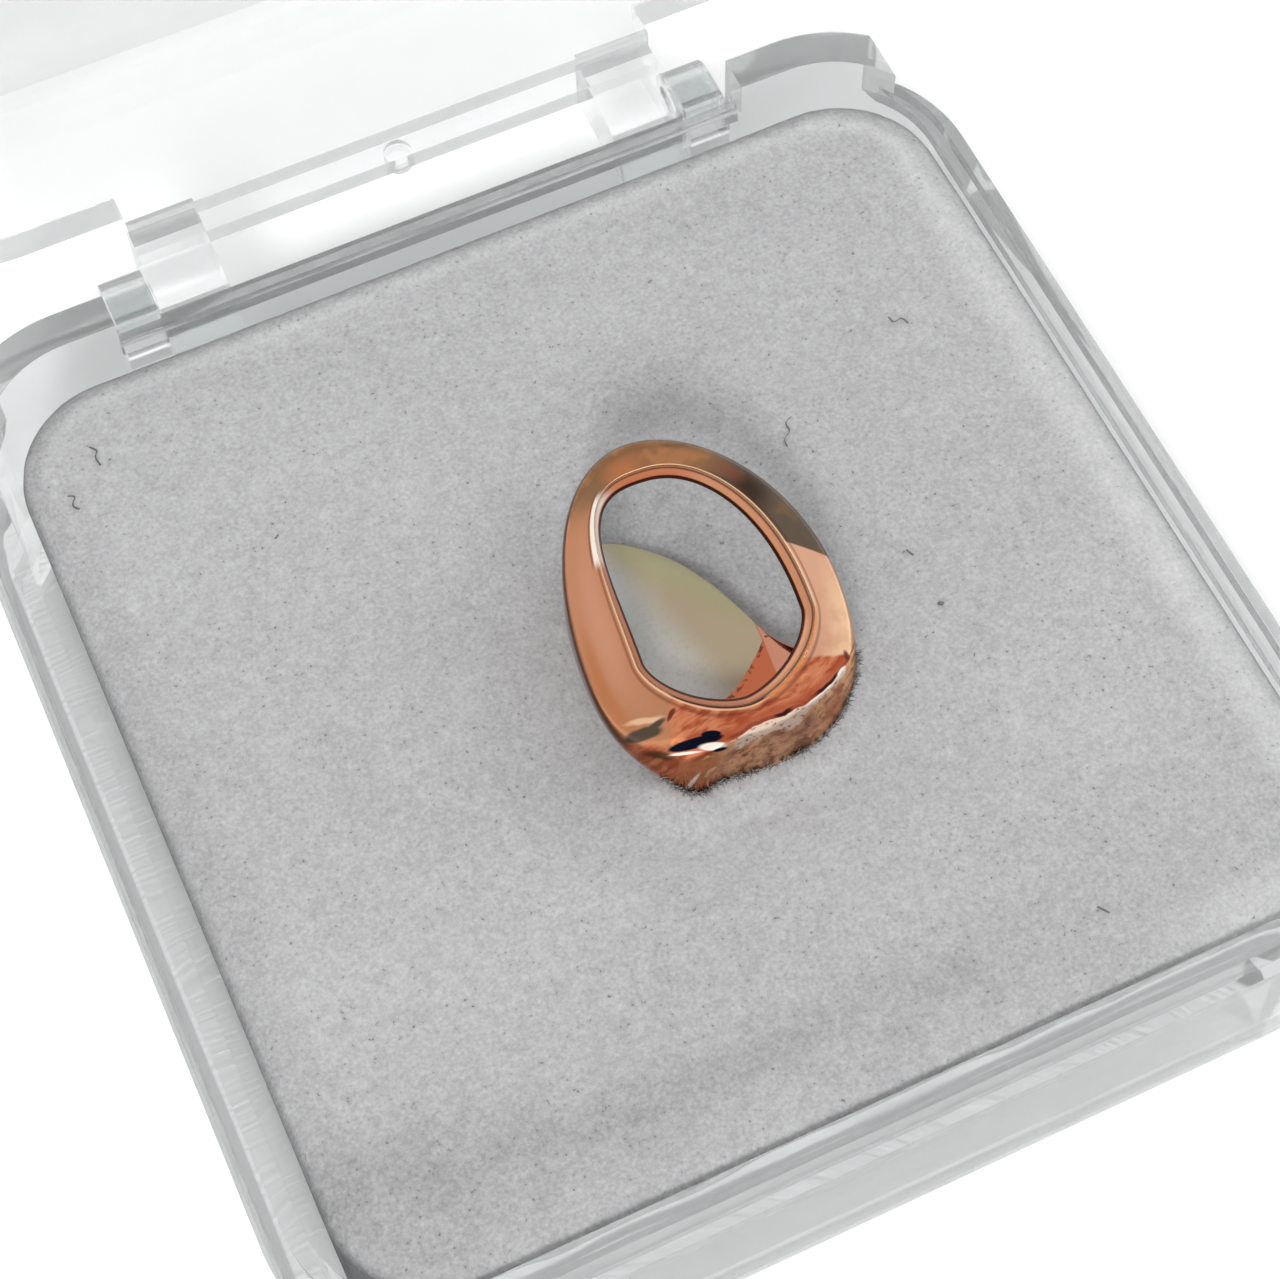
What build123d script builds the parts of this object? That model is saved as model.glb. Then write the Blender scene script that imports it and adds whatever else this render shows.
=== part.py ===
from build123d import *
import os
from math import copysign, cos, exp, hypot, pi, radians, sin

# Open-face tooth cap, lying on the foam of its clear hinged box.
# Millimetres, +Z up, front of the box towards -Y. The origin is the middle of the box's underside.
# The lid is modelled open, standing on its hinge stop.

# Box, outside sizes and walls
box_side = 36.5
corner_radius = 5.0
base_height = 7.2
lid_height = 8.75
wall = 1.3
base_floor = 1.2
lid_top = 1.2
edge_round = 0.5

# Lip round the tray's rim, and how the lid fits over it
lip_height = 0.8
lip_thickness = 0.55
lip_gap = 0.1
rim_gap = 0.05

# Hinge: two arms on the lid, whose pegs turn in two ears on the base
hinge_out = 1.05
hinge_drop = 0.7
arm_place = 8.45
arm_width = 2.5
arm_root = 1.6
stop_gap = 0.05
peg_radius = 0.6
peg_gap = 0.05
ear_width = 1.5
ear_wall = 0.55
ear_gap = 0.1
open_angle = 90

# Cut-back of the lid's rear rim beside the arms, and the raised tab of the base that fills it
relief_height = 2.2
relief_end = 16.6
tab_gap = 0.15
weld = 0.3

# Mark where the lid was cut from its runner
gate_radius = 0.5
gate_height = 0.35
gate_up = 0.6

# Foam pad, and its free space in the tray on each side
pad_left = 0.6
pad_right = 0.1
pad_front = 0.1
pad_rear = 0.45
pad_corner = 3.6
pad_round = 0.8
pad_below_lip = 0.3

# Tooth cap: the outline of its face, an egg seen square on, with the biting end at v = 0
cap_width = 8.35
cap_length = 10.6
cap_widest = 4.45
cap_lean = -0.6
cap_bite_lean = 0.22
cap_gum_fullness = 1.95
cap_bite_fullness = 2.5
bite_corner = 0.42
bite_corner_across = -2.1
bite_corner_width = 0.75

# Window in the face
window_width = 5.7
window_bottom = 1.92
window_length = 7.74
window_widest = 2.24
window_shift = 0.2
window_lean = -0.86
window_gum_fullness = 2.5
window_bite_fullness = 1.65
window_bevel = 0.3

# Heights of the cap along its own axis w, from the plane of its biting end
face_height = 1.45
face_crown = 0.5
face_bow = 1.4
band_flatness = 4.0
ring_edge = 0.45
bite_edge = -0.8
bite_ridge = 0.4
bite_depth = 2.05
gum_depth = 5.2
depth_reach = 8.4
depth_power = 1.6
side_rise = 0.5
wall_round = 1.2
metal = 0.7
ring_foot = 0.45
ring_inset = 0.3

# How the cap lies on the pad
cap_tilt = 22.0
cap_turn = -4.0
cap_x = 0.74
cap_y = -6.54
cap_lift = 1.49

# Dent in the foam under the cap
dent_depth = 0.35
dent_width = 15.0
dent_x = 0.9
dent_y = -2.6

# Facets of the cap
round_count = 60
band_count = 5
wall_count = 8

# Free edge of the cap's back wall, from the left side to the right: the angle round the outline in degrees,
# the place across as a share of half the width, the place along as a share of the length, and how much of
# the full depth it has
BACK_EDGE = [
    {"angle": 146, "across": -0.86, "along": 0.70, "depth": 0.0},
    {"angle": 158, "across": -0.83, "along": 0.715, "depth": 0.3},
    {"angle": 170, "across": -0.76, "along": 0.75, "depth": 0.75},
    {"angle": 186, "across": -0.54, "along": 0.80, "depth": 1.0},
    {"angle": 210, "across": -0.26, "along": 0.785, "depth": 1.0},
    {"angle": 240, "across": 0.05, "along": 0.69, "depth": 1.0},
    {"angle": 270, "across": 0.25, "along": 0.58, "depth": 1.0},
    {"angle": 300, "across": 0.38, "along": 0.47, "depth": 1.0},
    {"angle": 322, "across": 0.50, "along": 0.36, "depth": 0.98},
    {"angle": 338, "across": 0.66, "along": 0.29, "depth": 0.75},
    {"angle": 350, "across": 0.82, "along": 0.31, "depth": 0.3},
    {"angle": 362, "across": 0.88, "along": 0.42, "depth": 0.0},
]

# Places worked out from the sizes
half = box_side / 2
inner_half = half - wall
lip_top = base_height + lip_height
lid_rim = base_height + rim_gap
box_height = lid_rim + lid_height
hinge_y = half + hinge_out
hinge_z = base_height - hinge_drop
arm_radius = hinge_out - stop_gap
arm_side = arm_place + arm_width / 2
ear_radius = peg_radius + peg_gap + ear_wall
ear_inside = arm_side + ear_gap
ear_outside = ear_inside + ear_width
pad_top = lip_top - pad_below_lip
half_width = cap_width / 2


def rounded_block(half_side, radius, bottom, top):
    """An upright block with a square, rounded plan."""
    plan = RectangleRounded(2 * half_side, 2 * half_side, radius)
    return Pos(0, 0, bottom) * extrude(plan, top - bottom)


def across_block(x_low, x_high, y_low, y_high, z_low, z_high):
    """A plain block between two corners."""
    size = (x_high - x_low, y_high - y_low, z_high - z_low)
    centre = ((x_low + x_high) / 2, (y_low + y_high) / 2, (z_low + z_high) / 2)
    return Pos(*centre) * Box(*size)


def cross_rod(x_low, x_high, radius):
    """A round rod on the hinge axis."""
    turned = Rot(0, 90, 0) * Cylinder(radius, x_high - x_low)
    return Pos((x_low + x_high) / 2, hinge_y, hinge_z) * turned


def both_sides(shape):
    """The shape and its mirror image on the other side of the box."""
    return shape + mirror(shape, about=Plane.YZ)


def make_ear():
    """One ear of the base, with the hole for the lid's peg."""
    disc = cross_rod(ear_inside, ear_outside, ear_radius)
    web = across_block(ear_inside, ear_outside, half - weld, hinge_y,
                       hinge_z - ear_radius, hinge_z + ear_radius)
    hole = cross_rod(ear_inside - ear_gap, ear_outside + ear_gap, peg_radius + peg_gap)
    return disc + web - hole


def make_tab():
    """The raised part of the base's rear wall, between an ear and the corner."""
    ring = rounded_block(half, corner_radius, base_height - weld, lid_rim + relief_height - tab_gap)
    ring -= rounded_block(inner_half, corner_radius - wall, 0, box_height)
    keep = across_block(ear_outside + tab_gap, relief_end - tab_gap, 0, half, 0, box_height)
    return ring & keep


def make_base():
    """The clear tray, with its lip, tabs and hinge ears."""
    block = rounded_block(half, corner_radius, 0, base_height)
    block = fillet(block.faces().sort_by(Axis.Z)[0].edges(), edge_round)
    lip = rounded_block(inner_half + lip_thickness, corner_radius - wall + lip_thickness,
                        base_height - weld, lip_top)
    body = block + lip + both_sides(make_tab())
    body -= rounded_block(inner_half, corner_radius - wall, base_floor, box_height)
    return body + both_sides(make_ear())


def make_arm():
    """One hinge arm of the shut lid, with its peg and the square heel that stops it open."""
    low, high = arm_side - arm_width, arm_side
    disc = cross_rod(low, high, arm_radius)
    heel = across_block(low, high, hinge_y, hinge_y + arm_radius, hinge_z - arm_radius, hinge_z)
    strut = across_block(low, high, hinge_y - arm_radius, hinge_y + arm_radius, hinge_z, lid_rim + arm_root)
    root = across_block(low, high, half - weld, hinge_y, lid_rim, lid_rim + arm_root)
    peg = cross_rod(high - weld, ear_outside, peg_radius)
    return disc + heel + strut + root + peg


def make_shut_lid():
    """The clear lid as it sits on the base."""
    block = rounded_block(half, corner_radius, lid_rim, box_height)
    block = fillet(block.faces().sort_by(Axis.Z)[-1].edges(), edge_round)
    block -= rounded_block(inner_half, corner_radius - wall, 0, box_height - lid_top)
    over_lip = inner_half + lip_thickness + lip_gap
    block -= rounded_block(over_lip, corner_radius - half + over_lip, 0, lip_top + lip_gap)
    relief = across_block(arm_side, relief_end, 0, half + wall, 0, lid_rim + relief_height)
    block -= both_sides(relief)
    gate = Pos(0, half, lid_rim + gate_up) * Rot(90, 0, 0) * Cylinder(gate_radius, 2 * gate_height)
    return block + gate + both_sides(make_arm())


def make_lid():
    """The lid swung open on its hinge, as it rests."""
    return make_shut_lid().rotate(Axis((0, hinge_y, hinge_z), (1, 0, 0)), -open_angle)


def make_pad():
    """The foam pad, with rounded upper edges and the dent under the cap."""
    x_low, x_high = -inner_half + pad_left, inner_half - pad_right
    y_low, y_high = -inner_half + pad_front, inner_half - pad_rear
    plan = RectangleRounded(x_high - x_low, y_high - y_low, pad_corner)
    block = Pos((x_low + x_high) / 2, (y_low + y_high) / 2, base_floor) * extrude(plan, pad_top - base_floor)
    block = fillet(block.faces().sort_by(Axis.Z)[-1].edges(), pad_round)
    ball_radius = (dent_width ** 2 / 4 + dent_depth ** 2) / (2 * dent_depth)
    return block - Pos(dent_x, dent_y, pad_top - dent_depth + ball_radius) * Sphere(ball_radius)


def power(value, fullness):
    """One ordinate of a rounded curve: 2 is an ellipse, more is squarer."""
    return copysign(abs(value) ** (2 / fullness), value)


def outline_point(angle):
    """A point (u, v) of the cap's outline."""
    c, s = cos(angle), sin(angle)
    fullness = cap_gum_fullness if s > 0 else cap_bite_fullness
    reach = cap_length - cap_widest if s > 0 else cap_widest
    rise = power(s, fullness)
    lean = (cap_lean if rise > 0 else cap_bite_lean) * rise ** 2
    u = half_width * power(c, fullness) + lean
    corner = bite_corner * exp(-((u - bite_corner_across) / bite_corner_width) ** 2) if s < 0 else 0
    return u, cap_widest + reach * rise - corner


def window_point(angle):
    """A point (u, v) of the window's edge in the face."""
    c, s = cos(angle), sin(angle)
    fullness = window_gum_fullness if s > 0 else window_bite_fullness
    reach = window_length - window_widest if s > 0 else window_widest
    rise = power(s, fullness)
    lean = window_lean * max(rise, 0) ** 2
    u = window_shift + window_width / 2 * power(c, fullness) + lean
    return u, window_bottom + window_widest + reach * rise


def face(u, v):
    """Height of the crowned face above the plane of the biting end."""
    return face_height - face_crown * (u / half_width) ** 2 - face_bow * ((v - cap_widest) / cap_length) ** 2


def back_depth(u, v):
    """Depth of the back wall's outside, hollowed like the back of a front tooth."""
    along = bite_depth + (gum_depth - bite_depth) * (max(v, 0) / depth_reach) ** depth_power
    return along * (1 - side_rise * abs(u / half_width) ** 2.4)


def back_edge(angle):
    """Where the wall ends, (u, v, share of the depth): the ring's foot on the arch, else the table's curve."""
    degrees = angle * 180 / pi
    if degrees < BACK_EDGE[-1]["angle"] - 360:
        degrees += 360
    rows = BACK_EDGE
    if not rows[0]["angle"] < degrees < rows[-1]["angle"]:
        u, v = outline_point(angle)
        cu, cv = toward_middle(u, v)
        return u + ring_inset * cu, v + ring_inset * cv, 0.0
    k = max(i for i in range(len(rows) - 1) if rows[i]["angle"] <= degrees)
    share = (degrees - rows[k]["angle"]) / (rows[k + 1]["angle"] - rows[k]["angle"])
    ends = [edge_row(i) for i in (k - 1, k, k + 1, k + 2)]
    return tuple(catmull(*column, share) for column in zip(*ends))


def edge_row(index):
    """A row of the table as (u, v, depth); the end rows lie on the ring's foot."""
    row = BACK_EDGE[min(max(index, 0), len(BACK_EDGE) - 1)]
    if row["depth"] == 0:
        u, v = outline_point(radians(row["angle"]))
        cu, cv = toward_middle(u, v)
        return u + ring_inset * cu, v + ring_inset * cv, 0.0
    return row["across"] * half_width, row["along"] * cap_length, row["depth"]


def catmull(a, b, c, d, t):
    """A smooth value between b and c."""
    return b + t / 2 * (c - a + t * (2 * a - 5 * b + 4 * c - d + t * (3 * (b - c) + d - a)))


def toward_middle(u, v):
    """Unit direction in the face's plane from a point of the outline to the middle of the cap."""
    du, dv = -u, cap_widest - v
    length = hypot(du, dv)
    return du / length, dv / length


def band_height(t, down):
    """Height across the band from 1 at the window to 0 at the outline: rolled on the arch, sloped at the bite."""
    rolled = (1 - t ** band_flatness) ** 0.4
    sloped = 1 - max(t - bite_ridge, 0) ** 1.2 / (1 - bite_ridge) ** 1.2
    return rolled + (sloped - rolled) * down


def section(angle):
    """The closed section of the metal at one angle round the window, as (u, v, w) points."""
    wu, wv = window_point(angle)
    ou, ov = outline_point(angle)
    eu, ev, share = back_edge(angle)
    mu, mv = toward_middle(ou, ov)
    down = max(-sin(angle), 0) ** 1.5
    edge = ring_edge + (bite_edge - ring_edge) * down
    outside = []
    for k in range(band_count):
        t = sin(k / band_count * pi / 2)
        u, v = wu + (ou - wu) * t, wv + (ov - wv) * t
        outside.append((u, v, edge + (face(u, v) - edge) * band_height(t, down)))
    travel = hypot(eu - ou, ev - ov)
    bend = min(wall_round, travel)
    inside = []
    for k in range(wall_count + 1):
        t = k / wall_count
        turn = min(t * 2, 1) * pi / 2
        go = bend * (1 - cos(turn)) + (travel - bend) * max(t * 2 - 1, 0)
        if travel <= wall_round:
            turn = t * pi / 2
            go = travel * (1 - cos(turn))
        u, v = ou + (eu - ou) * go / travel, ov + (ev - ov) * go / travel
        foot = share * back_depth(u, v) + (1 - share) * (ring_foot - edge)
        w = edge - (edge + foot) * sin(turn)
        outside.append((u, v, w))
        ease = t * t * (3 - 2 * t)
        lift = ease * share
        inward = (1 - ease) + ease * (1 - share) * 0.5
        inside.append((u + mu * metal * inward, v + mv * metal * inward, w + metal * lift + drop_in(share, t)))
    inside.reverse()
    under = []
    bu, bv = wu + mu * window_bevel, wv + mv * window_bevel
    iu, iv, iw = inside[-1]
    for k in range(1, band_count + 1):
        t = k / band_count
        u, v = iu + (bu - iu) * t, iv + (bv - iv) * t
        low = face(wu, wv) - metal
        under.append((u, v, iw + (low - iw) * (1 - (1 - t) ** 2)))
    return outside + inside + under


def drop_in(share, t):
    """Lowers the start of the inner skin a little, so that the corner of the ring stays thick."""
    return -0.1 * (1 - t) * (1 - share)


def cap_points():
    """The grid of the cap's surface, section by section, in its own axes."""
    return [section(2 * pi * k / round_count) for k in range(round_count)]


def make_cap():
    """The tooth cap as one closed solid, laid on the pad."""
    grid = cap_points()
    rounds, points = len(grid), len(grid[0])
    faces = []
    for i in range(rounds):
        for j in range(points):
            a, b = grid[i][j], grid[(i + 1) % rounds][j]
            c, d = grid[(i + 1) % rounds][(j + 1) % points], grid[i][(j + 1) % points]
            for corners in ((a, b, c), (a, c, d)):
                faces.append(Face(Wire.make_polygon([Vector(*p) for p in corners])))
    solid = Solid(Shell(faces))
    place = Pos(cap_x, cap_y, pad_top + cap_lift) * Rot(0, 0, cap_turn) * Rot(cap_tilt, 0, 0)
    return place * solid


PARTS = {
    "tooth_cap": make_cap,
    "foam_pad": make_pad,
    "box_base": make_base,
    "box_lid": make_lid,
}

if __name__ == "__main__":
    os.makedirs("parts", exist_ok=True)
    for name, make in PARTS.items():
        export_step(make(), f"parts/{name}.step")
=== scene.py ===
import logging
import math
import random
from dataclasses import dataclass, field
from enum import Enum
from functools import reduce

import bpy
from mathutils import Matrix, Vector, noise


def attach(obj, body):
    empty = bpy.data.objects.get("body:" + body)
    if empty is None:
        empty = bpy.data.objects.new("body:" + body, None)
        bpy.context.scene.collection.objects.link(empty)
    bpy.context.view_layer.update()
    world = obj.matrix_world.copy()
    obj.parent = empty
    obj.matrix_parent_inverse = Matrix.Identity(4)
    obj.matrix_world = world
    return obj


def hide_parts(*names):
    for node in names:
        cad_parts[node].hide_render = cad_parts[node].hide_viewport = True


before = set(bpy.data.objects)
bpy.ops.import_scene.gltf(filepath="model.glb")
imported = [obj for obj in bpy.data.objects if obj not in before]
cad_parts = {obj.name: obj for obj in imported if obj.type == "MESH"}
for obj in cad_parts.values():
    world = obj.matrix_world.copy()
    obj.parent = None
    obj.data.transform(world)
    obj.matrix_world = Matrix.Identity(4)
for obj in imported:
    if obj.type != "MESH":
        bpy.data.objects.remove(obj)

# Open-face tooth cap on the flocked foam of a clear hinged box. Sizes are in millimetres.
# The front of the box faces -Y and the hinge runs along X behind it.

Point = tuple[float, float, float]
Colour = tuple[float, float, float, float]
Socket = bpy.types.NodeSocket
Piece = bpy.types.Object
Inputs = dict[str | int, object]
Layer = tuple[object, ...]

MM = 0.001
# How bright the room is in a mirror, and how strong its light is on a matt surface.
ROOM = 1.1
DAY = 1.42
log = logging.getLogger("tooth cap scene")


def srgb(red: float, green: float, blue: float) -> Colour:
    """Turns a colour of 0 to 255 per channel into the linear colour that shaders take."""
    parts = [part / 255 for part in (red, green, blue)]
    return (*(p / 12.92 if p <= 0.04045 else ((p + 0.055) / 1.055) ** 2.4 for p in parts), 1.0)


def toned(colour: Colour, light: float) -> Colour:
    """A surface's own colour, from how it looks under a light of that strength."""
    return (*(min(part / light, 1.0) for part in colour[:3]), 1.0)


def lit(red: float, green: float, blue: float) -> Colour:
    """A metal's base colour, from how it looks when it mirrors the room; the cap's painted reflections and
    highlights are given this way too.
    """
    return toned(srgb(red, green, blue), ROOM)


def paint(red: float, green: float, blue: float) -> Colour:
    """A matt surface's own colour, from how it looks in the studio's light."""
    return toned(srgb(red, green, blue), DAY)


def smooth(low: float, high: float, value: float) -> float:
    """Eases from 0 at low to 1 at high."""
    share = min(max((value - low) / (high - low), 0.0), 1.0)
    return share * share * (3 - 2 * share)


def hump(value: float, middle: float, width: float) -> float:
    """1 at the middle, falling off to both sides."""
    return math.exp(-((value - middle) / width) ** 2)


def power(value: float, fullness: float) -> float:
    """One ordinate of a rounded curve: fullness 2 is an ellipse, more is squarer."""
    return math.copysign(abs(value) ** (2 / fullness), value)


class Skin(float, Enum):
    """The skins that the cap's section runs through, as the start of their lap values."""

    BAND = 0.0
    WALL = 1.0
    INSIDE = 2.0
    UNDER = 3.0


@dataclass(frozen=True)
class Spot:
    """A soft-edged ellipse of one colour. Its turn is in degrees, and soft is how much of it fades."""

    tone: Colour
    across: float
    along: float
    wide: float
    deep: float
    turn: float
    soft: float
    share: float = 1.0


Spots = tuple[Spot, ...]


class Tree:
    """Builds a material's nodes with short calls."""

    def __init__(self, name: str) -> None:
        """Starts an empty material.

        Args:
            name: The material's name.
        """
        self.material = bpy.data.materials.new(name)
        self.material.use_nodes = True
        self.nodes = self.material.node_tree.nodes
        self.links = self.material.node_tree.links
        self.nodes.clear()
        self.output = self.nodes.new("ShaderNodeOutputMaterial")

    def node(self, kind: str, inputs: Inputs, result: str | int = 0, **settings: object) -> Socket:
        """Adds a node.

        Args:
            kind: Its type, without the leading ShaderNode.
            inputs: What its inputs take, by name or number: a socket to link or a plain value to set.
            result: The output to hand back, by name or number.
            settings: The node's own settings.

        Returns:
            The output's socket.
        """
        node = self.nodes.new("ShaderNode" + kind)
        for name, value in settings.items():
            setattr(node, name, value)
        for name, value in inputs.items():
            if isinstance(value, Socket):
                self.links.new(value, node.inputs[name])
            else:
                node.inputs[name].default_value = value
        return node.outputs[result]

    def maths(self, kind: str, *values: object) -> Socket:
        """A maths node of that kind."""
        return self.node("Math", dict(enumerate(values)), operation=kind)

    def times(self, *shares: object) -> Socket:
        """The product of two or more shares, or the one share that is given."""
        return reduce(lambda product, share: self.maths("MULTIPLY", product, share), shares)

    def ease(self, value: object, low: float, high: float) -> Socket:
        """Maps a value to 0 at low and 1 at high, eased. Low may be the larger of the two."""
        limits = {"From Min": min(low, high), "From Max": max(low, high),
                  "To Min": float(low > high), "To Max": float(low <= high)}
        return self.node("MapRange", {"Value": value, **limits}, "Result", interpolation_type="SMOOTHSTEP")

    def between(self, value: object, low: float, high: float, soft: float) -> Socket:
        """1 where a value lies between two limits, with edges that fade that far to each side."""
        rise = self.ease(value, low - soft, low + soft)
        return self.times(rise, self.ease(value, high + soft, high - soft))

    def mix(self, share: object, first: object, second: object) -> Socket:
        """Mixes two colours, with that share of the second."""
        return self.node("Mix", {0: share, 6: first, 7: second}, 2, data_type="RGBA")

    def layers(self, under: object, *layers: Layer) -> Socket:
        """Lays colours over one another, each as strong as the product of its shares.

        Args:
            under: The colour below.
            layers: Each a colour and one share or more.

        Returns:
            The new colour's socket.
        """
        for over, *shares in layers:
            under = self.mix(self.times(*shares), under, over)
        return under

    def noise(self, where: object, scale: float, detail: float = 2.0, rough: float = 0.5,
              result: str = "Fac") -> Socket:
        """A noise of that many waves per unit and octaves, with the weight of the finer octaves."""
        inputs = {"Vector": where, "Scale": scale, "Detail": detail, "Roughness": rough}
        return self.node("TexNoise", inputs, result)

    def split(self, vector: object) -> tuple[Socket, ...]:
        """The three parts of a vector."""
        return tuple(self.node("SeparateXYZ", {0: vector}).node.outputs)

    def warped(self, where: object, across: object, along: object, scale: float,
               reach: float) -> tuple[Socket, ...]:
        """Shifts two coordinates by a slow noise, by up to half the reach to each side, for uneven edges."""
        parts = self.split(self.noise(where, scale, 1.0, result="Color"))
        return tuple(
            self.maths("MULTIPLY_ADD", part, reach, self.maths("SUBTRACT", plain, reach / 2))
            for part, plain in zip(parts, (across, along))
        )

    def place(self, location: Point = (0, 0, 0), turn: Point = (0, 0, 0)) -> Socket:
        """Coordinates in millimetres in a frame laid in the object's space.

        Args:
            location: The frame's origin, in millimetres.
            turn: Its rotation, in radians.

        Returns:
            The coordinates' socket.
        """
        inputs = {
            "Vector": self.node("TexCoord", {}, "Object"),
            "Location": tuple(value * MM for value in location),
            "Rotation": turn,
            "Scale": (MM, MM, MM),
        }
        return self.node("Mapping", inputs, "Vector", vector_type="TEXTURE")

    def stretched(self, across: object, along: object, wide: float, high: float) -> Socket:
        """Coordinates with their own scale each way."""
        parts = {0: self.maths("MULTIPLY", across, wide), 1: self.maths("MULTIPLY", along, high)}
        return self.node("CombineXYZ", parts)

    def within(self, spot: Spot, across: object, along: object) -> Socket:
        """How far a place lies in a spot.

        Args:
            spot: The spot.
            across: First coordinate's socket.
            along: Second coordinate's socket.

        Returns:
            1 inside, 0 outside.
        """
        c, s = math.cos(math.radians(spot.turn)), math.sin(math.radians(spot.turn))
        x = self.maths("SUBTRACT", across, spot.across)
        y = self.maths("SUBTRACT", along, spot.along)
        squares = []
        for first, second, size in ((c, s, spot.wide), (-s, c, spot.deep)):
            part = self.maths("ADD", self.times(x, first / size), self.times(y, second / size))
            squares.append(self.times(part, part))
        far = self.maths("SQRT", self.maths("ADD", *squares))
        return self.ease(far, 1 + spot.soft, 1 - spot.soft)

    def joined(self, spots: Spots, across: object, along: object) -> Socket:
        """How far a place lies in either of two spots."""
        return self.maths("MAXIMUM", *(self.within(spot, across, along) for spot in spots))

    def dabs(self, spots: Spots, across: object, along: object, share: object = 1.0) -> list[Layer]:
        """The layers that spots make, as strong as that share beside their own strength."""
        return [(spot.tone, self.within(spot, across, along), spot.share, share) for spot in spots]

    def attribute(self, name: str) -> Socket:
        """The value of a mesh attribute."""
        return self.node("Attribute", {}, "Fac", attribute_name=name)

    def bump(self, height: object, strength: float, distance: float) -> Socket:
        """A bumped normal, with the relief's height in millimetres."""
        inputs = {"Height": height, "Strength": strength, "Distance": distance * MM}
        return self.node("Bump", inputs, "Normal")

    def surface(self, **values: object) -> bpy.types.Material:
        """Adds the surface shader and finishes the material.

        Args:
            values: Inputs of the shader, named with underscores for spaces.

        Returns:
            The material.
        """
        inputs = {name.replace("_", " "): value for name, value in values.items()}
        self.links.new(self.node("BsdfPrincipled", inputs, distribution="GGX"), self.output.inputs[0])
        return self.material


def as_object(name: str, points: list[Point], faces: list[tuple[int, ...]]) -> Piece:
    """Makes a smooth mesh object and links it.

    Args:
        name: The piece's name.
        points: Its points, in millimetres.
        faces: Its faces.

    Returns:
        The piece.
    """
    mesh = bpy.data.meshes.new(name)
    mesh.from_pydata([(x * MM, y * MM, z * MM) for x, y, z in points], [], faces)
    mesh.polygons.foreach_set("use_smooth", [True] * len(mesh.polygons))
    mesh.update()
    piece = bpy.data.objects.new(name, mesh)
    bpy.context.scene.collection.objects.link(piece)
    return piece


@dataclass(frozen=True)
class Bed:
    """How the cap lies on the pad."""

    x: float = 0.74
    y: float = -6.54
    z: float = 9.19
    tilt: float = 22.0
    turn: float = -4.0

    def matrix(self) -> Matrix:
        """The placing of the cap's own axes, in millimetres."""
        turn = Matrix.Rotation(math.radians(self.turn), 4, "Z")
        tilt = Matrix.Rotation(math.radians(self.tilt), 4, "X")
        return Matrix.Translation((self.x, self.y, self.z)) @ (turn @ tilt)

    def shader_turn(self) -> Point:
        """The same rotation as shader angles, in radians."""
        return (math.radians(self.tilt), 0.0, math.radians(self.turn))


@dataclass(frozen=True)
class Ridge:
    """The ridge over the cast face: its place along the cap for each place across it."""

    along: float = 1.27
    slope: float = 0.02
    droop: float = 0.2
    climb: float = 0.048
    climb_from: float = 0.5
    climb_power: float = 2.62

    def at(self, u: float) -> float:
        """Where the ridge runs, that far across the cap."""
        climb = self.climb * max(u - self.climb_from, 0) ** self.climb_power
        return self.along + self.slope * u + self.droop * min(u, 0) + climb

    def socket(self, tree: Tree, u: Socket) -> Socket:
        """The same in a material.

        Args:
            tree: The material's tree.
            u: Across the cap.

        Returns:
            The ridge's place along the cap.
        """
        past = tree.maths("MAXIMUM", tree.maths("SUBTRACT", u, self.climb_from), 0.0)
        climb = tree.times(tree.maths("POWER", past, self.climb_power), self.climb)
        droop = tree.times(tree.maths("MINIMUM", u, 0.0), self.droop)
        straight = tree.maths("MULTIPLY_ADD", u, self.slope, self.along)
        return tree.maths("ADD", straight, tree.maths("ADD", climb, droop))


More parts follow.
